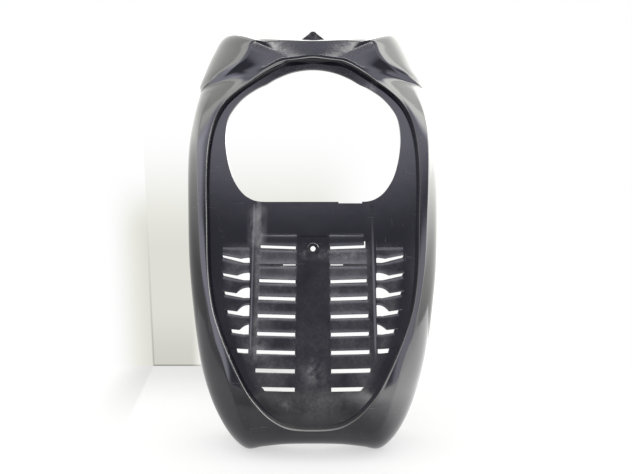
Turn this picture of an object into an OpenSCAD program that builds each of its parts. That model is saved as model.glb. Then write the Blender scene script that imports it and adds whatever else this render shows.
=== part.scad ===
// Scooter leg shield: one glossy black moulding with a headlight opening and a louvred, set-back panel.
// Units are millimetres. +Z is up, the front faces -Y, left and right mirror each other about X = 0,
// and it stands on its two lower corners at Z = 0.

/* [Overall] */
// widest width of the shell
shield_w = 372; // [352:2:392]
// height of the upper corners above the ground
shield_h = 598; // [580:2:620]
// wall thickness of the moulding
wall = 3; // [2.5:0.1:3.5]
// how far the side walls run back behind the silhouette
side_depth = 56; // [46:1:66]
// backward lean of the front, as a slope
lean = 0.24; // [0.2:0.005:0.28]

/* [Headlight opening] */
// widest width of the opening
opening_w = 254; // [240:1:258]
// height of the opening
opening_h = 201; // [190:1:204]
// height of its straight lower edge above the ground
opening_z = 331; // [325:1:335]
// width of the shallow notch in the lower edge
notch_w = 33; // [24:1:40]
// depth of the shallow notch
notch_h = 2; // [1:0.1:3]
// distance of the notch centre right of the middle
notch_x = 52; // [46:1:56]

/* [Set-back panel] */
// widest width of the set-back panel
panel_w = 295; // [291:1:300]
// lowest point of the panel above the ground
panel_z = 42; // [40:0.5:44]
// height of the panel
panel_h = 499; // [496:1:502]
// how far the panel bows back at its widest
panel_bow = 8; // [4:0.5:10]
// scale of the step between the panel and the body round it
step_scale = 1; // [0.8:0.05:1.2]

/* [Inner louvres] */
// number of slots in each inner column
rows = 9; // [5:1:9]
// spacing of the slots
row_pitch = 22.6; // [21:0.1:22.8]
// height of the centre of the uppermost slot
row_top_z = 268; // [265:0.5:270]
// height of the uppermost slot
slot_h = 3.6; // [3:0.1:4.2]
// growth of the slot height from row to row
slot_growth = 0.33; // [0.2:0.01:0.4]
// distance of the inner slot ends from the middle
slot_inner_x = 23.5; // [21:0.5:26]
// length of the uppermost slot
slot_len = 48; // [44:0.5:50]
// extra length of each inner slot over the one above it
slot_spread = 0.4; // [0:0.1:0.5]
// how far the lower edge of each slat stands out
slat_rise = 2.5; // [1.5:0.1:3]

/* [Outer louvres] */
// number of slots in each outer column
outer_rows = 6; // [3:1:6]
// spacing of the outer slots
outer_pitch = 23.3; // [22:0.1:23.6]
// height of the lower edge of the uppermost outer slot
outer_top_z = 247; // [245:0.5:250]
// distance of the inner slot ends from the middle
outer_inner_x = 86; // [84:0.5:88]
// length of the uppermost outer slot
outer_len = 37; // [32:0.5:38]
// height of the narrow part of the uppermost outer slot
slit_h = 2.9; // [2.4:0.1:3.2]

/* [Screw hole] */
// height of the screw hole
screw_z = 266; // [263:0.5:269]
// diameter of the screw hole
screw_d = 7; // [6:0.1:8]
// diameter of the boss round the screw hole
boss_d = 16; // [14:0.5:18]
// length of the boss behind the panel
boss_len = 12; // [8:1:16]

/* [Top tab] */
// width of the tab at its foot
tab_w = 46; // [34:1:46]
// height of the tab tip above the middle of the top edge
tab_over = 19.5; // [15:0.5:23]
// height of the tab from foot to tip
tab_h = 24; // [22:1:28]
// thickness of the tab
tab_t = 3; // [2.5:0.1:4]

/* [Rear ribs] */
// thickness of the upright ribs behind the louvre posts
rib_t = 2.5; // [2:0.1:3]
// how far the ribs stand behind the panel
rib_depth = 9; // [6:0.5:12]
// distance of each rib from the middle
rib_x = 79; // [77.5:0.5:80.5]

/* [Fineness] */
// pieces between two outline stations
sub = 3; // [2:1:3]

/* [Hidden] */
$fn = 48;
gloss_black = [0.04, 0.04, 0.05];
// width of the rounded lip of the step, and angle at which the side starts to roll back
lip_run = 4.5;
roll_start = 40;

// Outlines as seen from the front, right half, from the bottom centre round to the top centre.
// Each pair is a share of the half width and a share of the height.
opening_line = [
  [0, 0], [0.16, 0], [0.3, 0], [0.4, 0], [0.48, 0], [0.55, 0.001], [0.62, 0.006],
  [0.69, 0.022], [0.77, 0.057], [0.85, 0.12], [0.92, 0.21], [0.975, 0.34], [1, 0.48], [0.98, 0.615],
  [0.915, 0.7], [0.8, 0.785], [0.65, 0.852], [0.54, 0.886], [0.45, 0.922], [0.35, 0.953], [0.265, 0.974],
  [0.18, 0.988], [0.09, 0.997], [0, 1]
];
panel_line = [
  [0, 0], [0.21, 0.005], [0.36, 0.027], [0.47, 0.057], [0.56, 0.09], [0.645, 0.133],
  [0.73, 0.182], [0.81, 0.235], [0.885, 0.3], [0.94, 0.395], [0.975, 0.53], [1, 0.65],
  [0.995, 0.745], [0.95, 0.818], [0.865, 0.872], [0.74, 0.91], [0.597, 0.94], [0.475, 0.964],
  [0.386, 0.98], [0.312, 0.99], [0.244, 0.996], [0.163, 0.999], [0.081, 1], [0, 1]
];
edge_line = [
  [0, 0.022], [0.195, 0.02], [0.35, 0.012], [0.465, 0], [0.555, 0.016], [0.65, 0.056],
  [0.747, 0.117], [0.828, 0.197], [0.892, 0.301], [0.946, 0.418], [0.978, 0.543], [1, 0.652],
  [1, 0.719], [0.984, 0.773], [0.968, 0.808], [0.957, 0.828], [0.952, 0.838], [0.946, 0.846],
  [0.941, 0.873], [0.86, 0.948], [0.75, 1], [0.516, 0.987], [0.258, 0.973], [0, 0.967]
];
// Body section at the same stations: height of the step, place of the crease between the panel
// edge and the silhouette, depth of the crease, depth of the silhouette, depth of the rear edge,
// and how far the section arches upward on its way out.
section_line = [
  [9, 0.36, -6, 14, 34, 0], [9, 0.36, -6, 15, 38, 0], [9, 0.42, -5, 18, 52, 0], [9, 0.5, -4, 28, 80, 0],
  [9, 0.45, -4, 34, 92, 0], [9, 0.33, -4, 37, 94, 0], [9, 0.24, -3, 38, 94, 0], [9, 0.22, -2, 38, 94, 0],
  [9, 0.26, -1, 38, 94, 0], [9, 0.33, 0, 38, 94, 0], [9, 0.38, 0, 38, 92, 0], [9, 0.42, 1, 38, 90, 0],
  [8.5, 0.48, 2, 38, 86, 0], [8, 0.54, 4, 38, 82, 0], [7.5, 0.58, 6, 38, 80, 0], [7, 0.6, 8, 38, 78, 4],
  [7, 0.58, 8, 38, 77, 9], [8, 0.5, 0, 38, 76, 13], [8, 0.42, -6, 38, 72, 13], [8, 0.45, -9, 38, 62, 9],
  [8, 0.55, -10, 34, 56, 4], [8, 0.68, -9, 16, 44, 0], [8, 0.85, -9, 2, 34, 0], [8, 0.9, -9, -2, 32, 0]
];
last = len(opening_line) - 1;

// Depth of the middle of the front at height z: a lean that softens into the nose, and a
// lip that curls back at the bottom.
function spine(z) =
  -20 + lean / 2 * ((z - 75) + sqrt(pow(z - 75, 2) + 2500)) + pow(max(0, 45 - z), 2) * 0.004;
function bow(x) = panel_bow * pow(x / 150, 2);
function panel_y(x, z) = spine(z) + bow(x);
function slope_at(z) = atan((spine(z + 1) - spine(z - 1)) / 2);

// Smooth curve through a table. Past either end the table is mirrored, column by column.
function row_at(table, i, signs) =
  i < 0 ? [for (c = [0:len(signs) - 1]) table[-i][c] * signs[c]]
  : i > last ? [for (c = [0:len(signs) - 1]) table[2 * last - i][c] * signs[c]]
  : table[i];
function blend(a, b, c, d, t) =
  (2 * b + (c - a) * t + (2 * a - 5 * b + 4 * c - d) * t * t + (3 * b - a - 3 * c + d) * t * t * t) / 2;
function along(table, u, signs) =
  let (i = min(floor(u), last - 1), t = u - i)
  blend(row_at(table, i - 1, signs), row_at(table, i, signs), row_at(table, i + 1, signs),
        row_at(table, i + 2, signs), t);

// Front of the shell at station u, from the opening edge over the step to the rear edge.
function front_section(u) =
  let (
    o = along(opening_line, u, [-1, 1]),
    r = along(panel_line, u, [-1, 1]),
    e = along(edge_line, u, [-1, 1]),
    s = along(section_line, u, [1, 1, 1, 1, 1, 1]),
    op = [o[0] * opening_w / 2, opening_z + o[1] * opening_h],
    rp = [r[0] * panel_w / 2, panel_z + r[1] * panel_h],
    ep = [e[0] * shield_w / 2, max(0, e[1] * shield_h)],
    run = norm(ep - rp),
    dir = (ep - rp) / run,
    step = s[0] * step_scale,
    crease = s[1] * run,
    side = [-dir[1], dir[0]] * s[5],
    lip = bow(rp[0]) - step,
    back = s[3] + (s[4] - s[3]) * side_depth / 56
  )
  concat(
    [for (t = [0, 0.13, 0.26, 0.4, 0.54, 0.68, 0.82, 0.93])
      let (p = op + (rp - op) * t) [p[0], panel_y(p[0], p[1]), p[1]]],
    [for (w = [[0, 0], [1, 0.62], [2.2, 0.93], [lip_run, 1]])
      let (p = rp + dir * w[0] + side * sin(180 * w[0] / run)) [p[0], panel_y(rp[0], p[1]) - step * w[1], p[1]]],
    [for (t = [0.35, 0.7, 1])
      let (w = lip_run + (crease - lip_run) * t, p = rp + dir * w + side * sin(180 * w / run))
      [p[0], spine(p[1]) + lip + (s[2] - lip) * pow(t, 1.3), p[1]]],
    [for (a = [51, 63, 76, 90])
      let (w = crease + (run - crease) * (sin(a) - sin(roll_start)) / (1 - sin(roll_start)),
           p = rp + dir * w + side * sin(180 * w / run))
      [p[0], spine(p[1]) + s[2] + (s[3] - s[2]) * (cos(roll_start) - cos(a)) / cos(roll_start), p[1]]],
    [for (t = [0.4, 1])
      [ep[0] - 3 * t * e[0], spine(ep[1]) + s[3] + (back - s[3]) * t, ep[1]]]
  );

// The whole loop: up the right side and down the left.
half_n = last * sub;
loop_n = 2 * half_n;
right_half = [for (k = [0:half_n]) front_section(k / sub)];
function flip(points) = [for (p = points) [-p[0], p[1], p[2]]];
front_grid = [for (k = [0:loop_n - 1]) k <= half_n ? right_half[k] : flip(right_half[loop_n - k])];
front_m = len(front_grid[0]);

// Inner face: the front moved in by the wall thickness along its own normal.
inner_picks = [20, 19, 18, 16, 14, 13, 11, 8, 6, 4, 2, 0];
function normal_at(k, j) =
  let (
    up = front_grid[(k + 1) % loop_n][j] - front_grid[(k + loop_n - 1) % loop_n][j],
    out = front_grid[k][min(j + 1, front_m - 1)] - front_grid[k][max(j - 1, 0)],
    n = cross(up, out)
  )
  n / norm(n);
function inner_point(k, j) =
  let (p = front_grid[k][j] + normal_at(k, j) * wall) [p[0], p[1], max(0, p[2])];
ring = [for (k = [0:loop_n - 1]) concat(front_grid[k], [for (j = inner_picks) inner_point(k, j)])];
ring_m = len(ring[0]);

// Half way between the foremost and the rearmost point, so that Y = 0 is the middle of the part.
all_y = [for (section = ring) for (p = section) p[1]];
mid_y = (min(all_y) + max(all_y)) / 2;

// Shell with the headlight opening already in it, as one closed ring.
module shell() {
  points = [for (k = [0:loop_n - 1]) for (p = ring[k]) p];
  faces = [
    for (k = [0:loop_n - 1])
      for (j = [0:ring_m - 1])
        let (
          a = k * ring_m + j,
          b = k * ring_m + (j + 1) % ring_m,
          c = ((k + 1) % loop_n) * ring_m + (j + 1) % ring_m,
          d = ((k + 1) % loop_n) * ring_m + j
        )
        each [[a, d, b], [d, c, b]]
  ];
  polyhedron(points = points, faces = faces, convexity = 12);
}

// Extrudes a front-view outline straight through from depth y0 to depth y1.
module through(y0, y1) {
  translate([0, y1, 0]) rotate([90, 0, 0]) linear_extrude(y1 - y0) children();
}

// Extrudes a side-view outline (depth, height) sideways from x0 to x1.
module across(x0, x1) {
  translate([x0, 0, 0]) rotate([90, 0, 90]) linear_extrude(x1 - x0) children();
}

module both_sides() {
  children();
  mirror([1, 0, 0]) children();
}

// depth that every through cut covers, both ways
cut_y = shield_h * 0.25;

function row_z(i) = row_top_z - i * row_pitch;
function row_end(i) = slot_inner_x + slot_len + (i < rows - 1 ? slot_spread * i : -4);
function row_h(i) = slot_h + slot_growth * i;

// One inner slot: it drops a little toward the middle, with its lower outer corner rounded.
// The lowest slot ends on a slant that follows the edge of the panel.
module inner_slot(i) {
  x1 = row_end(i);
  h = row_h(i) / 2;
  cut = i == 8 ? 4 : 0;
  corner = i == 8 ? 5 : 2;
  translate([0, row_z(i)]) polygon(concat(
    [[slot_inner_x, h - 0.8], [slot_inner_x, -h - 0.8]],
    [for (a = [0, 30, 60, 90])
      [x1 - cut - corner + corner * sin(a), -h + 0.8 + corner * 0.5 * (1 - cos(a))]],
    [[x1, h + 0.8]]
  ));
}

// The second slot is moulded nearly shut: a short gap by the middle, then a groove.
module second_gap() {
  translate([slot_inner_x, row_z(1) - 1.8]) square([17, 1.4]);
}
module second_groove() {
  y = panel_y(48, row_z(1));
  through(y - 8, y + 1.4) translate([slot_inner_x, row_z(1) - 1.8]) square([slot_len - 0.5, 3.6]);
}

// The uppermost slot on the right has a short upright tail at its outer end.
module slot_tail() {
  translate([row_end(0) - 1.6, row_z(0)]) square([1.6, 8]);
}

// One slat of the inner columns: a wedge that stands out toward its lower edge.
module inner_slat(i) {
  top_z = row_z(i) - row_h(i) / 2 + 0.6;
  low_z = row_z(i + 1) + row_h(i + 1) / 2 - 1;
  x0 = slot_inner_x - 1.5;
  x1 = row_end(i) + 1.5;
  turn = atan((bow(x1) - bow(x0)) / (x1 - x0));
  translate([x0, bow(x0), 0]) rotate([0, 0, turn]) across(0, x1 - x0) polygon([
    [spine(top_z) - 0.2, top_z],
    [spine(low_z) - slat_rise, low_z + 1],
    [spine(low_z) - slat_rise, low_z],
    [spine(low_z) + 1.5, low_z],
    [spine(top_z) + 1.5, top_z]
  ]);
}

// Height, width and fullness of the rounded end of each outer slot.
bump_h = [6.8, 10, 13.8, 14.4, 12.8, 5.4];
bump_w = [12, 17, 18, 17, 14, 4];
bump_full = [1.5, 2.2, 2.6, 2.6, 1.9, 1];
function outer_z(i) = outer_top_z - i * outer_pitch;
function outer_x0(i) = outer_inner_x - 0.8 * i;
function outer_x1(i) = outer_x0(i) + outer_len - 0.8 * i * i;

// One outer slot: a thin slit that climbs outward and swells into a rounded end.
module outer_slot(i) {
  x0 = outer_x0(i);
  x1 = outer_x1(i);
  rise = 7 - 1.25 * i;
  h = slit_h + 0.4 * i;
  w = bump_w[i];
  foot = h + rise * w / (x1 - x0);
  translate([0, outer_z(i)]) polygon(concat(
    [[x0, 0], [x0 + 8, 0], [x1 - 1, rise], [x1, rise + h * 0.4], [x1 + 0.5, rise + h]],
    [for (t = [1, 0.86, 0.72, 0.58, 0.44, 0.3, 0.14])
      [x0 + w * t, foot + (bump_h[i] - foot) * (1 - pow(t, bump_full[i]))]],
    [[x0, bump_h[i] - 1.2]]
  ));
}

// One slat of the outer columns, turned to follow the bow of the panel and the climbing slots.
module outer_slat(i) {
  x0 = outer_x0(i);
  x1 = outer_x1(i);
  rise = 7 - 1.25 * i;
  top_z = outer_z(i) + 0.5;
  low_z = outer_z(i + 1) + slit_h + 1;
  turn = atan((bow(x1) - bow(x0)) / (x1 - x0));
  translate([x0, bow(x0), 0]) rotate([0, 0, turn]) across(0, x1 - x0) polygon([
    [spine(top_z) - 0.1, top_z],
    [spine(low_z) - slat_rise * 0.6, low_z + 1],
    [spine(low_z) - slat_rise * 0.6, low_z],
    [spine(low_z) + 1.5, low_z],
    [spine(top_z) + 1.5, top_z]
  ]);
}

// All openings cut through the panel.
module louvre_cuts() {
  through(-cut_y, cut_y) {
    for (i = [0:rows - 1]) if (i != 1) inner_slot(i);
    if (rows > 1) second_gap();
    for (i = [0:outer_rows - 1]) outer_slot(i);
  }
  second_groove();
}

module slats() {
  for (i = [0:rows - 2]) inner_slat(i);
  for (i = [0:outer_rows - 2]) outer_slat(i);
}

// Upright post between the two columns: a low ridge in front and a stiffening rib behind.
ridge_zs = [for (z = [112:24:328]) z];
module post() {
  back_up = [for (i = [len(ridge_zs) - 1:-1:0]) ridge_zs[i]];
  for (half = [[5.5, 0.4], [4, 1], [2.4, 1.5]])
    across(rib_x - half[0], rib_x + half[0]) polygon(concat(
      [for (z = ridge_zs) [panel_y(rib_x, z) - half[1], z]],
      [for (z = back_up) [panel_y(rib_x, z) + 1.5, z]]
    ));
  across(rib_x - rib_t / 2, rib_x + rib_t / 2) polygon(concat(
    [for (z = ridge_zs) [panel_y(rib_x, z) + 1, z]],
    [for (z = back_up) [panel_y(rib_x, z) + wall + rib_depth, z]]
  ));
}

screw_y = panel_y(0, screw_z);

// Shallow pocket round the screw hole, square to the leaning panel.
module screw_pocket() {
  translate([0, panel_y(0, screw_z + 5), screw_z + 5]) rotate([-slope_at(screw_z), 0, 0])
    through(-10, 1.8) translate([-19, -11]) square([38, 24]);
}
module screw_boss() {
  translate([0, screw_y - 0.8, screw_z]) rotate([-90, 0, 0])
    cylinder(d = boss_d, h = boss_len + wall + 0.8);
}
module screw_bore() {
  translate([0, screw_y - 20, screw_z]) rotate([-90, 0, 0]) cylinder(d = screw_d, h = 60);
}

// Shallow relief notch in the lower edge of the headlight opening.
module edge_notch() {
  through(-20, 90) translate([notch_x - notch_w / 2, opening_z - notch_h])
    square([notch_w, notch_h + 3]);
}

// Small rounded tab standing behind the middle of the top edge.
module top_tab() {
  top_z = edge_line[last][1] * shield_h + tab_over;
  y = spine(top_z - tab_over) + 12;
  round_r = tab_w * 0.14;
  through(y, y + tab_t) polygon(concat(
    [[-tab_w / 2, top_z - tab_h], [tab_w / 2, top_z - tab_h], [tab_w / 2, top_z - tab_h * 0.7]],
    [for (a = [60:-20:-60]) [round_r * sin(a), top_z - round_r + round_r * cos(a)]],
    [[-tab_w / 2, top_z - tab_h * 0.7]]
  ));
}

module leg_shield() {
  color(gloss_black) translate([0, -mid_y, 0]) difference() {
    union() {
      difference() {
        shell();
        screw_pocket();
      }
      both_sides() slats();
      both_sides() post();
      screw_boss();
      top_tab();
    }
    both_sides() louvre_cuts();
    through(-cut_y, cut_y) slot_tail();
    screw_bore();
    edge_notch();
  }
}

leg_shield();
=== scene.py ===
# Looks for the scooter leg shield: a glossy black moulding in a white photo booth.
# The scene is in metres, +Z up, and the front faces -Y. The outlines repeat the solid's own,
# in millimetres and at a finer pitch.
import functools
import math

import bmesh
import bpy
import numpy as np
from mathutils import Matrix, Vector


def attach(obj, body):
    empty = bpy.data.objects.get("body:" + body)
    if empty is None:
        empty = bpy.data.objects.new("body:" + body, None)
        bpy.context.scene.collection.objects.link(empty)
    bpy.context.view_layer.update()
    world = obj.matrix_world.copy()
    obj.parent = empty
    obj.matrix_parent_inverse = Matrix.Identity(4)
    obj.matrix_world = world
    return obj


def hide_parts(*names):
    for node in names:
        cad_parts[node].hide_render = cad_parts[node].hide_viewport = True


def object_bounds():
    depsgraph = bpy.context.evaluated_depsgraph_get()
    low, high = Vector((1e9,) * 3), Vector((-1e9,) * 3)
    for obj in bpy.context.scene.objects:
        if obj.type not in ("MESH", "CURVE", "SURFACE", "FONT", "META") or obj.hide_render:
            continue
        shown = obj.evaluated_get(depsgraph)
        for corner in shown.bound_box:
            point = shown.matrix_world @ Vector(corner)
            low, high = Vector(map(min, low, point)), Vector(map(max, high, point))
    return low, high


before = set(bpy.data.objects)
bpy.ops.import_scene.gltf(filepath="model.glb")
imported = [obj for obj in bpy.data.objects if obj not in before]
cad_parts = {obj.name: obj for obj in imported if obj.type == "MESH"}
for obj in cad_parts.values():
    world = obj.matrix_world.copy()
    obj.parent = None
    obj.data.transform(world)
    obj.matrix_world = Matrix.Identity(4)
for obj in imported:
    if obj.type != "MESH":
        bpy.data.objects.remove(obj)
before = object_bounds()
CAD_BOX = np.array(before, float)

# ---------------------------------------------------------------- sizes, millimetres
SHIELD_W, SHIELD_H, WALL = 372, 598, 3
OPENING_W, OPENING_H, OPENING_Z = 254, 201, 331
PANEL_W, PANEL_H, PANEL_Z = 295, 499, 42
PANEL_BOW, BOW_X = 8, 150                     # the panel bows back by PANEL_BOW at BOW_X
SIDE_DRAFT = 3                                # the side walls draw in by this to the rear

# Spine: the panel's middle line, upright low down and leaning back above the bend.
LEAN, SPINE_Y, BEND_Z, BEND_SOFT = 0.24, -20, 75, 50
TOE_Z, TOE_CURL = 45, 0.004                   # the lower lip curls back below TOE_Z

# Lip and bead round the panel. The lip is wider along the top, the bead flatter at the sides.
LIP_RUN, LIP_RUN_TOP, LIP_TOP_Z, LIP_TOP_FADE = 4.5, 4, 490, 46
BEAD_FOOT, BEAD_FLAT_FOOT, BEAD_FLAT_Z, BEAD_FLAT_HALF = 0.965, 0.997, 325, 175
LIP_PROFILE = [(0, 0), (0.12, 0.20), (0.28, 0.45), (0.45, 0.68), (0.60, 0.85), (0.74, 0.96), (0.83, 1.0)]
TURN = 40                                     # angle at which the rounded side leaves the facet
CREASE_STEPS = (0.12, 0.24, 0.36, 0.48, 0.6, 0.7, 0.8, 0.88, 0.94, 1)
TURN_ANGLES = (42, 45, 49, 53, 57, 61, 65, 69, 73, 77, 82, 86, 90)
SIDE_STEPS = (0.15, 0.4, 0.7, 1)
PANEL_STEPS = 25

# Inner louvre rows, counted from the top. The second row is moulded nearly shut.
ROWS, ROW_PITCH, ROW_TOP_Z, SHUT_ROW = 9, 22.6, 268, 1
SLOT_X, SLOT_LEN, SLOT_SPREAD, LAST_SLOT_SHORTER = 23.5, 48, 0.4, 4
SLOT_H, SLOT_GROWTH = 3.6, 0.33
SLOT_DROP, SLOT_DROP_LESS = 0.8, 0.07         # a slot's outer end stands higher by twice this
SLOT_END, LAST_SLOT_END = (0, 2), (4, 5)      # cut back and corner at the outer end, lower edge
GAP_LEN, GAP_H, GAP_DROP = 17, 1.4, 1.8       # what is left open of the shut row
TAIL_W, TAIL_LOW, TAIL_TOP = 1.6, 1, 8        # upright tail on the first right slot
FIRST_SLAT_LEN = 19                           # how high the slat above the first row reaches
SLAT_RISE, FIRST_SLAT_SHARE, OUTER_SLAT_SHARE = 1.6, 0.4, 0.6

# Outer louvre rows, with a comma-shaped bump at the inner end of each slot.
OUTER_ROWS, OUTER_PITCH, OUTER_TOP_Z, OUTER_FIELD_Z = 6, 23.3, 247, 268
OUTER_X, OUTER_LEN, OUTER_SHIFT, OUTER_SHORTER = 86, 37, 0.8, 0.8
OUTER_FLAT, OUTER_RISE, OUTER_RISE_LESS = 8, 7, 1.25
SLIT_H, SLIT_GROWTH = 2.9, 0.4
BUMP_H = [6.8, 10, 13.8, 14.4, 12.8, 5.4]
BUMP_W = [12, 17, 18, 17, 14, 4]
BUMP_FULL = [1.5, 2.2, 2.6, 2.6, 1.9, 1]      # the higher, the fuller the bump's curve

SCREW_Z, SCREW_D, BOSS_D, BOSS_LEN, BOSS_PROUD = 266, 7, 16, 12, 0.8
POCKET_LIFT, POCKET_DEPTH, POCKET_REACH = 5, 1.8, 10
POCKET_CORNERS = ((-19, -11), (19, -11), (19, 13), (-19, 13))
TAB_W, TAB_OVER, TAB_H, TAB_T, TAB_BACK = 46, 19.5, 24, 3, 12
TAB_TIP, TAB_SHOULDER = 0.14, 0.7             # tip radius per width, slope per height
RIB_X, RIB_T, RIB_DEPTH, RIB_Z0, RIB_Z1 = 79, 2.5, 9, 112, 328
RIB_FRONT = 1                                 # the ribs start this far behind the panel's face
RIDGE_HALF, RIDGE_H, RIDGE_FADE = 5.5, 0.6, 30
NOTCH_W, NOTCH_H, NOTCH_X, NOTCH_OVER = 33, 2, 52, 3
CUT_Y0, CUT_Y1 = -60, 110                     # every cutter runs through the whole depth
FINE = 10                                     # pieces between two outline stations
SMOOTH_ANGLE = 32                             # degrees; sharper edges stay sharp

# Outlines of the right half, from the middle below to the middle above, as shares of the
# width's half and the height.
OPENING_LINE = [
    (0, 0), (0.16, 0), (0.3, 0), (0.4, 0), (0.48, 0), (0.55, 0.001), (0.62, 0.006),
    (0.69, 0.022), (0.77, 0.057), (0.85, 0.12), (0.92, 0.21), (0.975, 0.34), (1, 0.48), (0.98, 0.615),
    (0.915, 0.7), (0.8, 0.785), (0.65, 0.852), (0.54, 0.886), (0.45, 0.922), (0.35, 0.953), (0.265, 0.974),
    (0.18, 0.988), (0.09, 0.997), (0, 1)]
PANEL_LINE = [
    (0, 0), (0.21, 0.005), (0.36, 0.027), (0.47, 0.057), (0.56, 0.09), (0.645, 0.133),
    (0.73, 0.182), (0.81, 0.235), (0.885, 0.3), (0.94, 0.395), (0.975, 0.53), (1, 0.65),
    (0.995, 0.745), (0.95, 0.818), (0.865, 0.872), (0.74, 0.91), (0.597, 0.94), (0.475, 0.964),
    (0.386, 0.98), (0.312, 0.99), (0.244, 0.996), (0.163, 0.999), (0.081, 1), (0, 1)]
EDGE_LINE = [
    (0, 0.022), (0.195, 0.02), (0.35, 0.012), (0.465, 0), (0.555, 0.016), (0.65, 0.056),
    (0.747, 0.117), (0.828, 0.197), (0.892, 0.301), (0.946, 0.418), (0.978, 0.543), (1, 0.652),
    (1, 0.719), (0.984, 0.773), (0.968, 0.808), (0.957, 0.828), (0.952, 0.838), (0.946, 0.846),
    (0.941, 0.873), (0.86, 0.948), (0.75, 1), (0.516, 0.987), (0.258, 0.973), (0, 0.967)]
# For each station: height of the step, place of the crease as a share of the run, depth of the
# crease, of the silhouette and of the rear edge, and the sideways bow of the run.
SECTION_LINE = [
    (9, 0.36, -6, 14, 34, 0), (9, 0.36, -6, 15, 38, 0), (9, 0.42, -5, 18, 52, 0), (9, 0.5, -4, 28, 80, 0),
    (9, 0.45, -4, 34, 92, 0), (9, 0.33, -4, 37, 94, 0), (9, 0.24, -3, 38, 94, 0), (9, 0.22, -2, 38, 94, 0),
    (9, 0.26, -1, 38, 94, 0), (9, 0.33, 0, 38, 94, 0), (9, 0.38, 0, 38, 92, 0), (9, 0.42, 1, 38, 90, 0),
    (8.5, 0.48, 2, 38, 86, 0), (8, 0.54, 4, 38, 82, 0), (7.5, 0.58, 6, 38, 80, 0), (7, 0.6, 8, 38, 78, 4),
    (7, 0.58, 8, 38, 77, 9), (8, 0.5, 0, 38, 76, 13), (8, 0.42, -6, 38, 72, 13), (8, 0.45, -9, 38, 62, 9),
    (8, 0.55, -10, 34, 56, 4), (8, 0.68, -9, 16, 44, 0), (8, 0.85, -9, 2, 34, 0), (8, 0.9, -9, -2, 32, 0)]
LAST = len(OPENING_LINE) - 1


# ---------------------------------------------------------------- the shell
def spine(z):
    toe = max(0.0, TOE_Z - z) ** 2 * TOE_CURL
    return SPINE_Y + LEAN / 2 * ((z - BEND_Z) + math.sqrt((z - BEND_Z) ** 2 + BEND_SOFT ** 2)) + toe


def bow(x):
    return PANEL_BOW * (x / BOW_X) ** 2


def panel_y(x, z):
    return spine(z) + bow(x)


def row_at(table, i, signs):
    """Row i of a table, mirrored past either end with the given signs."""
    if i < 0:
        return [a * b for a, b in zip(table[-i], signs)]
    if i > LAST:
        return [a * b for a, b in zip(table[2 * LAST - i], signs)]
    return table[i]


def along(table, u, signs):
    """Smooth curve through the table's rows, at station u."""
    i = min(int(u), LAST - 1)
    t = u - i
    a, b, c, d = [np.array(row_at(table, i + k, signs), float) for k in (-1, 0, 1, 2)]
    return (2 * b + (c - a) * t + (2 * a - 5 * b + 4 * c - d) * t * t
            + (3 * b - a - 3 * c + d) * t ** 3) / 2


def front_section(u):
    """The front of the shell at station u, from the opening edge to the rear edge."""
    opening = along(OPENING_LINE, u, (-1, 1))
    rim = along(PANEL_LINE, u, (-1, 1))
    edge = along(EDGE_LINE, u, (-1, 1))
    step, crease_share, crease_y, edge_y, rear_y, side_bow = along(SECTION_LINE, u, (1,) * 6)
    opening_at = np.array([opening[0] * OPENING_W / 2, OPENING_Z + opening[1] * OPENING_H])
    rim_at = np.array([rim[0] * PANEL_W / 2, PANEL_Z + rim[1] * PANEL_H])
    edge_at = np.array([edge[0] * SHIELD_W / 2, max(0, edge[1] * SHIELD_H)])
    run = np.linalg.norm(edge_at - rim_at)
    out = (edge_at - rim_at) / run
    side = np.array([-out[1], out[0]]) * side_bow
    crease = crease_share * run
    flat = max(0.0, 1 - abs(rim_at[1] - BEAD_FLAT_Z) / BEAD_FLAT_HALF) ** 0.5
    foot = BEAD_FOOT + (BEAD_FLAT_FOOT - BEAD_FOOT) * flat
    lip_y = bow(rim_at[0]) - step * foot
    top = min(1.0, max(0.0, (rim_at[1] - LIP_TOP_Z) / LIP_TOP_FADE))
    lip_run = LIP_RUN + LIP_RUN_TOP * top * top * (3 - 2 * top)

    def place(w):
        return rim_at + out * w + side * math.sin(math.pi * w / run)

    points = []
    for t in np.linspace(0, 1, PANEL_STEPS)[:-1]:
        x, z = opening_at + (rim_at - opening_at) * t
        points.append((x, panel_y(x, z), z))
    for w, height in LIP_PROFILE + [(0.91, (1 + foot) / 2), (1, foot)]:
        x, z = place(w * lip_run)
        points.append((x, panel_y(rim_at[0], z) - step * height, z))
    for t in CREASE_STEPS:
        x, z = place(lip_run + (crease - lip_run) * t)
        points.append((x, spine(z) + lip_y + (crease_y - lip_y) * t ** 1.3, z))
    cos_turn, sin_turn = math.cos(math.radians(TURN)), math.sin(math.radians(TURN))
    for degrees in TURN_ANGLES:
        a = math.radians(degrees)
        x, z = place(crease + (run - crease) * (math.sin(a) - sin_turn) / (1 - sin_turn))
        y = spine(z) + crease_y + (edge_y - crease_y) * (cos_turn - math.cos(a)) / cos_turn
        points.append((x, y, z))
    for t in SIDE_STEPS:
        y = spine(edge_at[1]) + edge_y + (rear_y - edge_y) * t
        points.append((edge_at[0] - SIDE_DRAFT * t * edge[0], y, edge_at[1]))
    return np.array(points)


def shell_grid():
    half = [front_section(k / FINE) for k in range(LAST * FINE + 1)]
    left = [g * np.array([-1, 1, 1]) for g in half[-2:0:-1]]
    return np.array(half + left)


grid = shell_grid()
STATIONS, COLUMNS = grid.shape[:2]
MID_Y = (grid[:, :, 1].min() + grid[:, :, 1].max()) / 2
# Columns of the inner face, from the rear edge to the opening.
INNER_COLUMNS = [COLUMNS - k for k in (1, 3, 5, 8, 11, 14, 17, 20, 23)] + [30, 24] + list(range(22, -1, -2))


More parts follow.
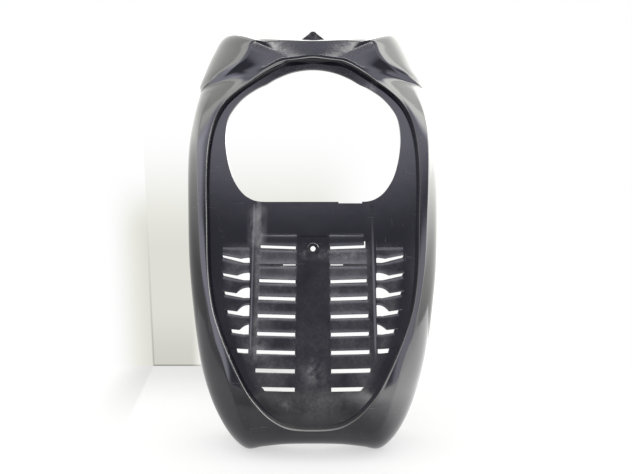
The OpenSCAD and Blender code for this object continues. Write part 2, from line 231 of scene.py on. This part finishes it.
def new_object(name, verts, faces, inside=True):
    """Mesh object from points in millimetres of the source's own frame."""
    mesh = bpy.data.meshes.new(name)
    pts = np.array(verts, float) - np.array([0, MID_Y, 0])
    pts = np.clip(pts / 1000, CAD_BOX[0], CAD_BOX[1]) if inside else pts / 1000
    mesh.from_pydata(pts.tolist(), [], faces)
    mesh.validate()
    obj = bpy.data.objects.new(name, mesh)
    bpy.context.scene.collection.objects.link(obj)
    return obj


def inner_grid():
    """The front's points, moved by the wall along their normals."""
    up = np.roll(grid, -1, 0) - np.roll(grid, 1, 0)
    out = np.empty_like(grid)
    out[:, 1:-1] = grid[:, 2:] - grid[:, :-2]
    out[:, 0] = grid[:, 1] - grid[:, 0]
    out[:, -1] = grid[:, -1] - grid[:, -2]
    normal = np.cross(up, out)
    normal /= np.linalg.norm(normal, axis=2, keepdims=True)
    inner = grid + normal * WALL
    inner[:, :, 2] = np.maximum(inner[:, :, 2], 0)
    return inner


def make_shell():
    ring = np.concatenate([grid, inner_grid()[:, INNER_COLUMNS]], axis=1)
    m = ring.shape[1]
    faces = []
    for k in range(STATIONS):
        k2 = (k + 1) % STATIONS
        for j in range(m):
            j2 = (j + 1) % m
            faces.append((k * m + j, k * m + j2, k2 * m + j2, k2 * m + j))
    return new_object("shield_skin", ring.reshape(-1, 3), faces)


# ---------------------------------------------------------------- solids for cuts and fittings
def rod_faces(n, rings):
    """Faces of a rod with n points in each ring, closed at both ends."""
    faces = []
    for k in range(rings - 1):
        a, b = k * n, (k + 1) * n
        faces += [(a + j, a + (j + 1) % n, b + (j + 1) % n, b + j) for j in range(n)]
    end = rings * n - 1
    return faces + [tuple(range(n)), tuple(range(end, end - n, -1))]


def prism_y(outline, y0, y1):
    """Front-view outline (x, z), extruded from depth y0 to y1."""
    n = len(outline)
    verts = [(x, y0, z) for x, z in outline] + [(x, y1, z) for x, z in outline]
    faces = [tuple(range(n)), tuple(range(2 * n - 1, n - 1, -1))]
    faces += [(i, i + n, (i + 1) % n + n, (i + 1) % n) for i in range(n)]
    return verts, faces


def circle(x, z, r, n=48):
    return [(x + r * math.cos(2 * math.pi * i / n), z + r * math.sin(2 * math.pi * i / n)) for i in range(n)]


def rectangle(x0, x1, z0, z1):
    return [(x0, z0), (x1, z0), (x1, z1), (x0, z1)]


def through(outline):
    return prism_y(outline, CUT_Y0, CUT_Y1)


def on_both_sides(outline):
    return [through(outline), through([(-x, z) for x, z in outline])]


def flip_x(solid):
    verts, faces = solid
    return [(-x, y, z) for x, y, z in verts], faces


def gather(name, solids, inside=False):
    """One object from several solids."""
    verts, faces = [], []
    for v, f in solids:
        base = len(verts)
        verts += v
        faces += [tuple(i + base for i in face) for face in f]
    obj = new_object(name, verts, faces, inside)
    bm = bmesh.new()
    bm.from_mesh(obj.data)
    bmesh.ops.recalc_face_normals(bm, faces=bm.faces)
    bm.to_mesh(obj.data)
    bm.free()
    return obj


def cut(obj, tool):
    mod = obj.modifiers.new("cut", "BOOLEAN")
    mod.operation = "DIFFERENCE"
    mod.solver = "EXACT"
    mod.object = tool
    bpy.context.view_layer.objects.active = obj
    with bpy.context.temp_override(object=obj, active_object=obj):
        bpy.ops.object.modifier_apply(modifier=mod.name)
    bpy.data.objects.remove(tool)


# ---------------------------------------------------------------- louvres
def row_z(i):
    return ROW_TOP_Z - i * ROW_PITCH


def row_h(i):
    return SLOT_H + SLOT_GROWTH * i


def row_end(i):
    return SLOT_X + SLOT_LEN + (SLOT_SPREAD * i if i < ROWS - 1 else -LAST_SLOT_SHORTER)


def slot_drop(i):
    return SLOT_DROP - SLOT_DROP_LESS * i


def inner_slot(i):
    x1, h, z, drop = row_end(i), row_h(i) / 2, row_z(i), slot_drop(i)
    cut_back, corner = LAST_SLOT_END if i == ROWS - 1 else SLOT_END
    points = [(SLOT_X, z + h - drop), (SLOT_X, z - h - drop)]
    for degrees in range(0, 91, 15):
        c, s = math.cos(math.radians(degrees)), math.sin(math.radians(degrees))
        points.append((x1 - cut_back - corner + corner * s, z - h + drop + corner * 0.5 * (1 - c)))
    return points + [(x1, z + h + drop)]


def outer_z(i):
    return OUTER_TOP_Z - i * OUTER_PITCH


def outer_x0(i):
    return OUTER_X - OUTER_SHIFT * i


def outer_x1(i):
    return outer_x0(i) + OUTER_LEN - OUTER_SHORTER * i * i


def outer_rise(i):
    return OUTER_RISE - OUTER_RISE_LESS * i


def outer_h(i):
    return SLIT_H + SLIT_GROWTH * i


def outer_top(i, x):
    """Height of the upper edge of outer slot i at x."""
    x0, x1 = outer_x0(i), outer_x1(i)
    rise, h, w = outer_rise(i), outer_h(i), BUMP_W[i]
    line = h + rise * (x - x0) / (x1 - x0)
    t = min(max((x - x0) / w, 0), 1)
    foot = h + rise * w / (x1 - x0)
    if t >= 1:
        return outer_z(i) + line
    return outer_z(i) + foot + (BUMP_H[i] - foot) * (1 - t ** BUMP_FULL[i])


def outer_low(i, x):
    """Height of the lower edge of outer slot i at x."""
    x0, x1 = outer_x0(i), outer_x1(i)
    return outer_z(i) + max(0, (x - x0 - OUTER_FLAT) / (x1 - x0 - (OUTER_FLAT + 1))) * outer_rise(i)


def outer_slot(i):
    x0, x1, z = outer_x0(i), outer_x1(i), outer_z(i)
    rise, h = outer_rise(i), outer_h(i)
    points = [(x0, z), (x0 + OUTER_FLAT, z), (x1 - 1, z + rise),
              (x1, z + rise + h * 0.4), (x1 + 0.5, z + rise + h)]
    for t in np.linspace(1, 0.08, 14):
        x = x0 + BUMP_W[i] * t
        points.append((x, outer_top(i, x)))
    return points + [(x0, z + BUMP_H[i] - 1.2)]


def slat(xs, top, low, rise):
    """Shingled slat: flush under the slot above, standing out by rise at its lower edge.

    Each ring runs from the top down the bulging face to the lower edge, and back inside the panel.
    """
    verts, ring = [], 10
    for x in xs:
        zt, zl = top(x), low(x)
        yt, yl = panel_y(x, zt), panel_y(x, zl)
        verts += [(x, yt + 0.2, zt), (x, yt - 0.3, zt - 0.7)]
        for s in (0.3, 0.5, 0.68, 0.82):
            verts.append((x, yt + (yl - yt) * s - 0.3 - (rise - 0.4) * s ** 2, zt + (zl - zt) * s))
        verts += [(x, yl - rise + 0.2, zl + 0.9), (x, yl - rise + 0.5, zl), (x, yl + 1.5, zl), (x, yt + 1.5, zt)]
    return verts, rod_faces(ring, len(xs))


def inner_slat(i, right):
    """Slat below inner row i. Row -1 is the shallow slat above the first row."""
    near = max(i, 0)
    x0, x1 = SLOT_X - 1.2, row_end(near) + 1.2
    if i == -1 and right:
        x1 = row_end(0) - 2.2             # clear of the slot's tail
    run = row_end(near) - SLOT_X

    def tilt(row, x):
        return slot_drop(row) * (2 * (x - SLOT_X) / run - 1)

    def top(x):
        if i == -1:
            return row_z(0) + FIRST_SLAT_LEN
        if i == SHUT_ROW:
            return row_z(i) - GAP_DROP
        return row_z(i) - row_h(i) / 2 + tilt(i, x)

    def low(x):
        if i + 1 == SHUT_ROW:
            return row_z(i + 1) - 0.4
        return row_z(i + 1) + row_h(i + 1) / 2 - 0.15 * i + tilt(i + 1, x)

    return slat(np.linspace(x0, x1, 9), top, low, SLAT_RISE * (FIRST_SLAT_SHARE if i == -1 else 1))


def outer_slat(i):
    """Slat below outer row i. Row -1 is the one above the first row."""
    near = max(i, 0)

    def top(x):
        return outer_low(i, x) if i >= 0 else OUTER_FIELD_Z

    def low(x):
        return min(outer_top(i + 1, x), top(x) - 2)

    xs = np.linspace(outer_x0(near) + 0.2, outer_x1(near) + 0.5, 25)
    return slat(xs, top, low, SLAT_RISE * OUTER_SLAT_SHARE)


# ---------------------------------------------------------------- posts, screw hole and tab
def rib(x0, x1, zs, front, back):
    """Upright bar that follows the panel, from depth front to depth back off its face."""
    verts, ring = [], 6
    for z in zs:
        y = panel_y((x0 + x1) / 2, z)
        verts += [(x0, y + front + 0.5, z), (x0 + 1, y + front, z), (x1 - 1, y + front, z),
                  (x1, y + front + 0.5, z), (x1, y + back, z), (x0, y + back, z)]
    return verts, rod_faces(ring, len(zs))


def ridge(mid, half, height, zs):
    """Rounded upright ridge on the panel, fading at its lower end."""
    verts, arc = [], 17
    for z in zs:
        fade = min(1, (z - zs[0]) / RIDGE_FADE)
        for i in range(arc):
            a = math.pi * (i / (arc - 1) - 0.5)
            x = mid + half * a / (math.pi / 2)
            verts.append((x, panel_y(x, z) - height * fade * math.cos(a) ** 2 + 0.05, z))
        verts += [(mid + half, panel_y(mid, z) + 1.5, z), (mid - half, panel_y(mid, z) + 1.5, z)]
    return verts, rod_faces(arc + 2, len(zs))


def tube(x, z, r0, r1, y0, y1, n=48):
    """Round boss with a bore, its outer front edge chamfered."""
    sections = ((r0, y0), (r1 - 0.5, y0), (r1, y0 + 0.5), (r1, y1), (r0, y1))
    verts, faces = [], []
    for k, (r, y) in enumerate(sections):
        verts += [(px, y, pz) for px, pz in circle(x, z, r, n)]
        a, b = k * n, ((k + 1) % len(sections)) * n
        faces += [(a + i, a + (i + 1) % n, b + (i + 1) % n, b + i) for i in range(n)]
    return verts, faces


def pocket_box():
    """Shallow rectangular pocket round the screw hole, square to the leaning panel."""
    z = SCREW_Z + POCKET_LIFT
    turn = math.atan((spine(SCREW_Z + 1) - spine(SCREW_Z - 1)) / 2)
    verts = []
    for u, w in POCKET_CORNERS:
        for d in (-POCKET_REACH, POCKET_DEPTH):
            verts.append((u, panel_y(0, z) + d * math.cos(turn) + w * math.sin(turn),
                          z - d * math.sin(turn) + w * math.cos(turn)))
    return verts, [(0, 1, 3, 2), (2, 3, 5, 4), (4, 5, 7, 6), (6, 7, 1, 0), (0, 2, 4, 6), (1, 7, 5, 3)]


def tab():
    """Flat tab with a rounded tip above the middle of the top edge."""
    edge_z = EDGE_LINE[-1][1] * SHIELD_H
    top = edge_z + TAB_OVER
    y = spine(top - TAB_OVER) + TAB_BACK
    r, shoulder = TAB_W * TAB_TIP, top - TAB_H * TAB_SHOULDER
    outline = [(-TAB_W / 2, top - TAB_H), (TAB_W / 2, top - TAB_H), (TAB_W / 2, shoulder)]
    for degrees in range(60, -61, -10):
        a = math.radians(degrees)
        outline.append((r * math.sin(a), top - r + r * math.cos(a)))
    return prism_y(outline + [(-TAB_W / 2, shoulder)], y, y + TAB_T)


# ---------------------------------------------------------------- one piece
def cutters():
    """Every slot, the gap in the shut row and the screw hole."""
    solids = []
    for i in range(ROWS):
        if i != SHUT_ROW:
            solids += on_both_sides(inner_slot(i))
    gap_z = row_z(SHUT_ROW) - GAP_DROP
    solids += on_both_sides(rectangle(SLOT_X, SLOT_X + GAP_LEN, gap_z, gap_z + GAP_H))
    for i in range(OUTER_ROWS):
        solids += on_both_sides(outer_slot(i))
    return solids + [through(circle(0, SCREW_Z, SCREW_D / 2))]


def tail_cutters():
    """The first right slot's tail and the notch in the opening's lower edge."""
    x, z = row_end(0), row_z(0)
    tail = rectangle(x - TAIL_W, x, z + TAIL_LOW, z + TAIL_TOP)
    notch = rectangle(NOTCH_X - NOTCH_W / 2, NOTCH_X + NOTCH_W / 2, OPENING_Z - NOTCH_H, OPENING_Z + NOTCH_OVER)
    return [through(tail), through(notch)]


def fitting_solids():
    """Slats, ridges, ribs, boss and tab."""
    solids = []
    for right in (True, False):
        parts = [inner_slat(i, right) for i in range(-1, ROWS - 1)]
        parts += [outer_slat(i) for i in range(-1, OUTER_ROWS - 1)]
        parts.append(ridge(RIB_X, RIDGE_HALF, RIDGE_H, np.linspace(RIB_Z0, RIB_Z1, 28)))
        parts.append(rib(RIB_X - RIB_T / 2, RIB_X + RIB_T / 2, np.linspace(RIB_Z0, RIB_Z1, 19),
                         RIB_FRONT, WALL + RIB_DEPTH))
        solids += parts if right else [flip_x(part) for part in parts]
    y = panel_y(0, SCREW_Z)
    solids.append(tube(0, SCREW_Z, SCREW_D / 2, BOSS_D / 2, y - BOSS_PROUD, y + BOSS_LEN + WALL))
    return solids + [tab()]


def join_smooth(main, other):
    """Join other into main, and shade it smooth up to SMOOTH_ANGLE."""
    both = [main, other]
    for obj in both:
        for poly in obj.data.polygons:
            poly.use_smooth = True
    with bpy.context.temp_override(active_object=main, object=main,
                                   selected_editable_objects=both, selected_objects=both):
        bpy.ops.object.join()
    with bpy.context.temp_override(active_object=main, object=main,
                                   selected_editable_objects=[main], selected_objects=[main]):
        bpy.ops.object.shade_smooth_by_angle(angle=math.radians(SMOOTH_ANGLE))


shell = make_shell()
cut(shell, gather("pocket", [pocket_box()]))
cut(shell, gather("cutters", cutters()))
cut(shell, gather("tail_cutter", tail_cutters()))
join_smooth(shell, gather("fittings", fitting_solids(), inside=True))


# ---------------------------------------------------------------- node trees
class NodeKit:
    """Builds a node tree. A constant is set on its socket, an output is linked to it."""

    def __init__(self, tree):
        self.nodes, self.links = tree.nodes, tree.links

    def new(self, kind, **settings):
        node = self.nodes.new(kind)
        for key, value in settings.items():
            setattr(node, key, value)
        return node

    def feed(self, socket, part):
        if isinstance(part, bpy.types.NodeSocket):
            self.links.new(part, socket)
        else:
            socket.default_value = part

    def feed_all(self, node, **parts):
        for name, part in parts.items():
            self.feed(node.inputs[name.replace("_", " ")], part)
        return node

    def math(self, kind, a, b=0.0):
        node = self.new("ShaderNodeMath", operation=kind)
        self.feed(node.inputs[0], a)
        self.feed(node.inputs[1], b)
        return node.outputs["Value"]

    def plus(self, *parts):
        return functools.reduce(lambda a, b: self.math("ADD", a, b), parts)

    def times(self, *parts):
        return functools.reduce(lambda a, b: self.math("MULTIPLY", a, b), parts)

    def minus(self, a, b):
        return self.math("SUBTRACT", a, b)

    def over(self, a, b):
        return self.math("DIVIDE", a, b)

    def largest(self, a, b):
        return self.math("MAXIMUM", a, b)

    def sum_of_squares(self, a, b):
        return self.plus(self.math("POWER", a, 2.0), self.math("POWER", b, 2.0))

    def ramp(self, value, low, high, to_low=0.0, to_high=1.0, kind="SMOOTHSTEP"):
        """Smooth change from to_low to to_high, while value goes from low to high."""
        node = self.new("ShaderNodeMapRange", interpolation_type=kind, clamp=True)
        self.feed_all(node, Value=value, From_Min=low, From_Max=high, To_Min=to_low, To_Max=to_high)
        return node.outputs["Result"]

    def line(self, value, low, high, to_low=0.0, to_high=1.0):
        """The same in a straight line, held at both ends."""
        return self.ramp(value, low, high, to_low, to_high, "LINEAR")

    def band(self, value, start, full, fade, end, kind="SMOOTHSTEP"):
        """1 from full to fade, and 0 before start and after end."""
        return self.times(self.ramp(value, start, full, 0.0, 1.0, kind), self.ramp(value, fade, end, 1.0, 0.0, kind))

    def mix(self, factor, a, b, kind="FLOAT"):
        node = self.new("ShaderNodeMix", data_type=kind)
        return self.feed_all(node, Factor=factor, A=a, B=b).outputs["Result"]

    def axes(self, vector):
        return self.feed_all(self.new("ShaderNodeSeparateXYZ"), Vector=vector).outputs

    def background(self, colour, strength):
        node = self.new("ShaderNodeBackground")
        return self.feed_all(node, Color=colour, Strength=strength).outputs["Background"]


# ---------------------------------------------------------------- material, lengths in metres
PLASTIC, DUST_AND_SHEEN_TONE = (0.005, 0.0045, 0.009, 1), (0.22, 0.216, 0.21, 1)
DUST_EVERYWHERE, DUST_ON_PANEL, DUST_ON_LOUVRES, PANEL_SHARE = 0.05, 0.3, 0.6, 0.75
SMUDGE_AND_SHEEN_SHARE, SCUFF_AND_SHEEN_SHARE = 0.9, 0.6          # of the dust's strength
DUST_AND_SHEEN_MIX, SCRATCH_WEAR, WEAR_ROUGHNESS = 0.5, 0.35, 0.5
# Light spots: x, z, reach. The spot low in the middle (0.0, 0.108) is a painted highlight, the one on the tab (0.0,
# 0.592) a painted reflection, and the one at the foot of the left post (-0.0755, 0.134) makes it lighter there; the
# others are smudges and scratches.
SMUDGES_AND_SHEEN = [                                   # x, z, reach
    (-0.0755, 0.134, 0.020), (0.0, 0.108, 0.020), (0.086, 0.502, 0.012), (0.0, 0.592, 0.020),
    (-0.033, 0.066, 0.008)]
# Two light patches on the left post, partly dust and partly a painted highlight along the post, and the dust round
# the screw hole: x0, x1, z0, z1 and soft edge, then the noise (scale, detail, roughness, stretch) and what its range
# becomes.
SCUFFS_AND_SHEEN = [
    ((-0.092, -0.062, 0.266, 0.328, 0.010), (60.0, 4.0, 0.6, (2.0, 1.0, 0.5)), (0.35, 0.62, 0.1, 1.5)),
    ((-0.080, -0.070, 0.120, 0.335, 0.004), (70.0, 5.0, 0.7), (0.30, 0.65, 0.15, 1.1)),
    ((-0.022, 0.072, 0.248, 0.270, 0.008), (120.0, 6.0, 0.75), (0.45, 0.70))]


def black_plastic():
    mat = bpy.data.materials.new("black_plastic")
    mat.use_nodes = True
    mat.node_tree.nodes.clear()
    kit = NodeKit(mat.node_tree)
    coords = kit.new("ShaderNodeTexCoord").outputs["Object"]
    x, _, z = kit.axes(coords)
    across = kit.math("ABSOLUTE", x)

    def noise(scale, detail=5.0, rough=0.55, stretch=None):
        source = coords
        if stretch:
            mapping = kit.feed_all(kit.new("ShaderNodeMapping"), Scale=stretch, Vector=coords)
            source = mapping.outputs["Vector"]
        texture = kit.new("ShaderNodeTexNoise")
        kit.feed_all(texture, Vector=source, Scale=scale, Detail=detail, Roughness=rough)
        return texture.outputs["Fac"]

    def patch(x0, x1, z0, z1, soft):
        return kit.times(kit.band(x, x0, x0 + soft, x1 - soft, x1, "LINEAR"),
                         kit.band(z, z0, z0 + soft, z1 - soft, z1, "LINEAR"))

    # Dust: a little everywhere, more on the two louvre fields inside the rim and on the lower lip.
    fields = kit.plus(kit.band(across, 0.020, 0.026, 0.075, 0.082, "LINEAR"),
                      kit.band(across, 0.084, 0.090, 0.120, 0.128, "LINEAR"))
    fields = kit.largest(fields, kit.line(z, 0.11, 0.17, 1.0, 0.0))
    louvres = kit.times(kit.line(z, 0.264, 0.276, 1.0, 0.0),
                        kit.plus(kit.times(fields, DUST_ON_LOUVRES), DUST_ON_PANEL))
    off_middle = kit.sum_of_squares(kit.over(across, 0.118), kit.over(kit.minus(z, 0.28), 0.228))
    louvres = kit.times(louvres, kit.line(off_middle, 0.96, 1.12, 1.0, 0.12))
    lower_lip = kit.line(z, 0.006, 0.024, 0.9, 0.0)
    place = kit.plus(kit.largest(kit.times(louvres, PANEL_SHARE), lower_lip), DUST_EVERYWHERE)
    grain = kit.line(noise(260.0, 4.0, 0.6), 0.35, 0.7, 0.55, 1.0)
    cloud = kit.line(noise(22.0, 6.0, 0.62), 0.36, 0.68, 0.15, 1.0)
    dust_and_sheen = kit.times(grain, cloud, place)

    # Smudges and scuffs on top of it, with a painted highlight low in the middle, a painted reflection on the tab
    # and a painted highlight on the left post.
    blotch = kit.line(noise(85.0, 5.0, 0.7), 0.38, 0.62)
    for at_x, at_z, reach in SMUDGES_AND_SHEEN:
        away = kit.math("POWER", kit.sum_of_squares(kit.minus(x, at_x), kit.minus(z, at_z)), 0.5)
        dust_and_sheen = kit.plus(dust_and_sheen, kit.times(kit.line(away, reach * 0.2, reach, 1.0, 0.0), blotch, SMUDGE_AND_SHEEN_SHARE))
    for area, texture, levels in SCUFFS_AND_SHEEN:
        dust_and_sheen = kit.plus(dust_and_sheen, kit.times(patch(*area), kit.line(noise(*texture), *levels), SCUFF_AND_SHEEN_SHARE))

    # Scratches: thin streaks in two directions, broken up by a coarse mask.
    upright = kit.line(noise(60.0, 2.0, 0.5, (14.0, 1.0, 0.7)), 0.71, 0.75)
    level = kit.line(noise(60.0, 2.0, 0.5, (0.6, 1.0, 14.0)), 0.70, 0.74)
    scratch = kit.times(kit.largest(level, upright), kit.line(noise(9.0, 2.0), 0.5, 0.62))

    # The pale tone is mixed in by dust, scratches, and the painted highlights and painted reflection.
    wear_and_sheen = kit.math("MINIMUM", kit.plus(kit.times(dust_and_sheen, DUST_AND_SHEEN_MIX), kit.times(scratch, SCRATCH_WEAR)), 1.0)
    gloss = kit.line(noise(7.0, 4.0), 0.3, 0.7, 0.05, 0.11)
    bump = kit.new("ShaderNodeBump")
    kit.feed_all(bump, Strength=0.12, Distance=0.0006, Height=kit.plus(noise(45.0, 3.0), kit.times(scratch, -0.3)))
    shader = kit.new("ShaderNodeBsdfPrincipled")
    kit.feed_all(shader, Base_Color=kit.mix(wear_and_sheen, PLASTIC, DUST_AND_SHEEN_TONE, "RGBA"), IOR=1.5,
                 Roughness=kit.plus(gloss, kit.times(wear_and_sheen, WEAR_ROUGHNESS)), Normal=bump.outputs["Normal"])
    kit.feed_all(kit.new("ShaderNodeOutputMaterial"), Surface=shader.outputs["BSDF"])
    return mat


shell.data.materials.clear()
shell.data.materials.append(black_plastic())
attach(shell, "root")
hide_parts("leg_shield")

# ---------------------------------------------------------------- stage, metres
CAMERA_Y, CAMERA_Z = -0.640 - MID_Y / 1000, 0.282
BACK_WALL_Y = CAMERA_Y + 1.071
LEFT_WALL_X, LEFT_WALL_SLANT = -0.348, 0.195  # at the back wall, and per metre before it
FLOOR_GLOW = 0.54                             # what the floor gives itself, to look white


def booth_floor():
    """White floor with painted shade: dimmer by the back wall on the left, and a thin painted shade line where it
    meets the left wall.
    """
    mat = bpy.data.materials.new("booth_floor")
    mat.use_nodes = True
    kit = NodeKit(mat.node_tree)
    x, y, _ = kit.axes(kit.new("ShaderNodeNewGeometry").outputs["Position"])
    near_wall = kit.minus(BACK_WALL_Y, y)
    from_left = kit.minus(kit.minus(x, LEFT_WALL_X), kit.times(near_wall, LEFT_WALL_SLANT))

    # Painted shade: less glow near the back wall on the left and along the left wall.
    floor_dim = kit.times(kit.ramp(near_wall, 0.0, 0.30, 0.25, 0.0), kit.ramp(x, -0.1, 0.1, 1.0, 0.0))
    wall_dim = kit.times(kit.ramp(near_wall, 0.0, 0.40, 0.30, 0.0), kit.ramp(from_left, -0.10, 0.0))
    dim = kit.mix(kit.ramp(from_left, -0.001, 0.001), wall_dim, floor_dim)
    corner_shade_line = kit.times(kit.band(from_left, -0.005, 0.0, 0.0, 0.005), kit.ramp(near_wall, 0.1, 0.35, 0.2, 0.0))
    glow = kit.minus(FLOOR_GLOW, kit.largest(dim, corner_shade_line))

    # Reflections see it lit like the walls: strongly on the right, less on the left, dim in front.
    right_glow, left_glow = kit.ramp(x, 0.08, 0.34, 0.0, 4.6), kit.ramp(x, -0.4, -0.12, 0.4, 0.0)
    front_dim = kit.times(kit.ramp(y, -0.42, -0.34, 0.5, 0.0), kit.ramp(y, -1.5, -1.0))
    mirrored_glow = kit.minus(kit.plus(right_glow, left_glow), front_dim)
    path = kit.new("ShaderNodeLightPath")
    glow = kit.plus(glow, kit.times(path.outputs["Is Glossy Ray"], mirrored_glow))
    kit.feed_all(mat.node_tree.nodes["Principled BSDF"], Base_Color=(0.5, 0.5, 0.495, 1), Roughness=0.6,
                 Specular_IOR_Level=0.0, Emission_Color=(1, 1, 0.995, 1), Emission_Strength=glow)
    return mat


floor_mesh = bpy.data.meshes.new("floor")
floor_mesh.from_pydata([(-2, -2, 0), (2, -2, 0), (2, BACK_WALL_Y, 0), (-2, BACK_WALL_Y, 0)], [], [(0, 1, 2, 3)])
floor = bpy.data.objects.new("floor", floor_mesh)
bpy.context.scene.collection.objects.link(floor)
floor_mesh.materials.append(booth_floor())


# ---------------------------------------------------------------- world, by the ray's direction
def reflected_booth(kit, x, y, z):
    """Strength and tint of the booth in reflections: bright walls and ceiling, dimmer in front."""
    low_light = kit.ramp(z, -0.30, -0.05, 2.6, 1.5)
    height = kit.mix(kit.ramp(z, 0.05, 0.45), low_light, 6.0)
    window = kit.ramp(y, -0.38, -0.32, 1.2, 0.75)
    walls = kit.times(height, kit.mix(kit.ramp(y, -0.10, 0.20), window, 0.75))

    # The right side is the brighter one, low down and high up.
    right_back = kit.plus(x, kit.times(y, 0.5))
    high_sides = kit.times(kit.ramp(x, -0.3, 0.3, 0.85, 1.5), kit.ramp(right_back, 0.5, 0.8, 1.0, 2.1))
    low_sides = kit.ramp(x, -0.3, 0.3, 0.7, 1.6)
    walls = kit.times(walls, kit.mix(kit.ramp(z, -0.2, 0.1, 1.0, 0.0), high_sides, low_sides))

    # High up, a little more light for the shield's outer edges.
    edge_light = kit.times(kit.ramp(right_back, 0.78, 1.05, 1.0, 1.7), kit.ramp(x, -0.90, -0.75, 1.35, 1.0))
    walls = kit.times(walls, kit.mix(kit.ramp(z, 0.26, 0.44), 1.0, edge_light))

    # In front: dark low down, lit higher up, and dark again in the middle above that.
    aside = kit.math("ABSOLUTE", x)
    front_low = kit.ramp(z, 0.44, 0.62, 0.5, 2.9)
    front_high = kit.ramp(aside, 0.10, 0.35, 0.5, 2.4)
    front = kit.mix(kit.ramp(z, 0.63, 0.72), front_low, front_high)
    toward_front = kit.ramp(y, -0.58, -0.46, 1.0, 0.0)

    # Two slanting lamp streaks, seen in the flat face of the brow.
    streak_at = kit.plus(aside, kit.line(z, 0.60, 0.80, -0.248, 0.212))
    streak = kit.times(kit.band(streak_at, -0.020, -0.006, 0.010, 0.028),
                       kit.ramp(z, 0.635, 0.65), kit.ramp(z, 0.69, 0.71, 1.0, 0.1))
    front = kit.mix(streak, front, 15.0)

    near_front = kit.ramp(y, -0.60, -0.50, 1.0, 0.0)
    left_window = kit.times(kit.ramp(x, -0.56, -0.42, 3.6, 0.0), near_front)
    right_window = kit.times(kit.ramp(x, 0.34, 0.48, 0.0, 2.6), near_front, kit.ramp(z, 0.34, 0.48, 1.0, 0.0))
    strength = kit.plus(kit.mix(toward_front, walls, front), left_window, right_window)
    tint = kit.mix(kit.minus(toward_front, streak), (1.0, 1.0, 0.96, 1), (0.96, 0.95, 1.11, 1), "RGBA")
    return strength, tint


def seen_booth(kit, x, y, z):
    """What the camera sees: a white corner, with a soft shade low on its left and back walls."""
    sideways, upward = kit.over(x, y), kit.over(z, y)
    past_corner = kit.plus(sideways, kit.line(upward, -0.262, 0.262, 0.325, 0.3495))
    left_wall = kit.mix(kit.ramp(past_corner, -0.09, 0.01), 1.0, kit.ramp(upward, 0.0, 0.14, 0.72, 1.0))
    back_wall = kit.mix(kit.ramp(sideways, 0.0, 0.13, 1.0, 0.0), 1.0, kit.ramp(upward, -0.04, 0.22, 0.73, 1.0))
    back_wall = kit.times(back_wall, kit.ramp(upward, -0.26, -0.14, 0.86, 1.0))
    behind_louvres = kit.times(kit.ramp(sideways, -0.25, -0.22), kit.ramp(upward, 0.0, 0.05, 1.0, 0.0))
    back_wall = kit.mix(behind_louvres, back_wall, 1.0)
    corner = kit.mix(kit.ramp(past_corner, -0.0005, 0.0005), left_wall, back_wall)

    # Thin lines of painted shade: upright in the corner, and at the foot of the back wall.
    corner_shade_line = kit.times(kit.band(past_corner, -0.003, 0.0, 0.0, 0.003), kit.ramp(upward, -0.262, 0.10, 0.22, 0.0))
    foot = kit.times(kit.ramp(upward, -0.2615, -0.2590, 0.30, 0.0), kit.ramp(past_corner, -0.001, 0.001),
                     kit.ramp(sideways, -0.1, 0.1, 1.0, 0.0))
    corner = kit.minus(corner, kit.largest(corner_shade_line, foot))

    # Plain white in every direction but ahead and above the floor's far edge.
    ahead = kit.times(kit.ramp(y, 0.3, 0.5), kit.ramp(upward, -0.30, -0.27))
    warmth = kit.times(kit.ramp(corner, 0.75, 1.0, 1.0, 0.0), ahead)
    return kit.mix(ahead, 1.0, corner), kit.mix(warmth, (1, 1, 1, 1), (1, 1, 0.92, 1), "RGBA")


scene = bpy.context.scene
world = bpy.data.worlds.new("booth")
scene.world = world
world.use_nodes = True
world.cycles.sampling_method = "NONE"         # else its light ignores Is Diffuse Ray
world.node_tree.nodes.clear()
world_kit = NodeKit(world.node_tree)
direction = world_kit.axes(world_kit.new("ShaderNodeTexCoord").outputs["Generated"])
ray = world_kit.new("ShaderNodeLightPath")

# Diffuse rays get a plain strength of 1, glossy ones the booth, and the camera the white corner.
booth_strength, booth_tint = reflected_booth(world_kit, *direction)
room = world_kit.background(booth_tint, world_kit.mix(ray.outputs["Is Diffuse Ray"], booth_strength, 1.0))
seen_strength, seen_colour = seen_booth(world_kit, *direction)
seen = world_kit.background(seen_colour, seen_strength)
pick = world_kit.new("ShaderNodeMixShader")
for pick_input, pick_part in zip(pick.inputs, (ray.outputs["Is Camera Ray"], room, seen)):
    world_kit.feed(pick_input, pick_part)
world_kit.feed_all(world_kit.new("ShaderNodeOutputWorld"), Surface=pick.outputs["Shader"])

# ---------------------------------------------------------------- lamp and camera
LAMP_PLACE, LAMP_AIM, LAMP_SIZE, LAMP_WATTS = (0, -0.2, 1.6), (0, 0, 0.3), (1.4, 0.8), 2.5
SENSOR_MM, FOCAL_PX, SHIFT_PX, PICTURE_W = 36, 490.0, 3, 632

lamp_data = bpy.data.lights.new("top_light", "AREA")
lamp_data.shape = "RECTANGLE"
lamp_data.size, lamp_data.size_y = LAMP_SIZE
lamp_data.energy = LAMP_WATTS
lamp = bpy.data.objects.new("top_light", lamp_data)
lamp.location = LAMP_PLACE
lamp.rotation_euler = (Vector(LAMP_AIM) - Vector(LAMP_PLACE)).to_track_quat("-Z", "Y").to_euler()
scene.collection.objects.link(lamp)

camera_data = bpy.data.cameras.new("camera")
camera_data.sensor_width = SENSOR_MM
camera_data.lens = SENSOR_MM * FOCAL_PX / PICTURE_W
camera_data.shift_x = SHIFT_PX / PICTURE_W
camera = bpy.data.objects.new("camera", camera_data)
camera.location = (0, CAMERA_Y, CAMERA_Z)
camera.rotation_euler = (math.radians(90), 0, 0)
scene.collection.objects.link(camera)
scene.camera = camera
scene.view_settings.view_transform = "Standard"
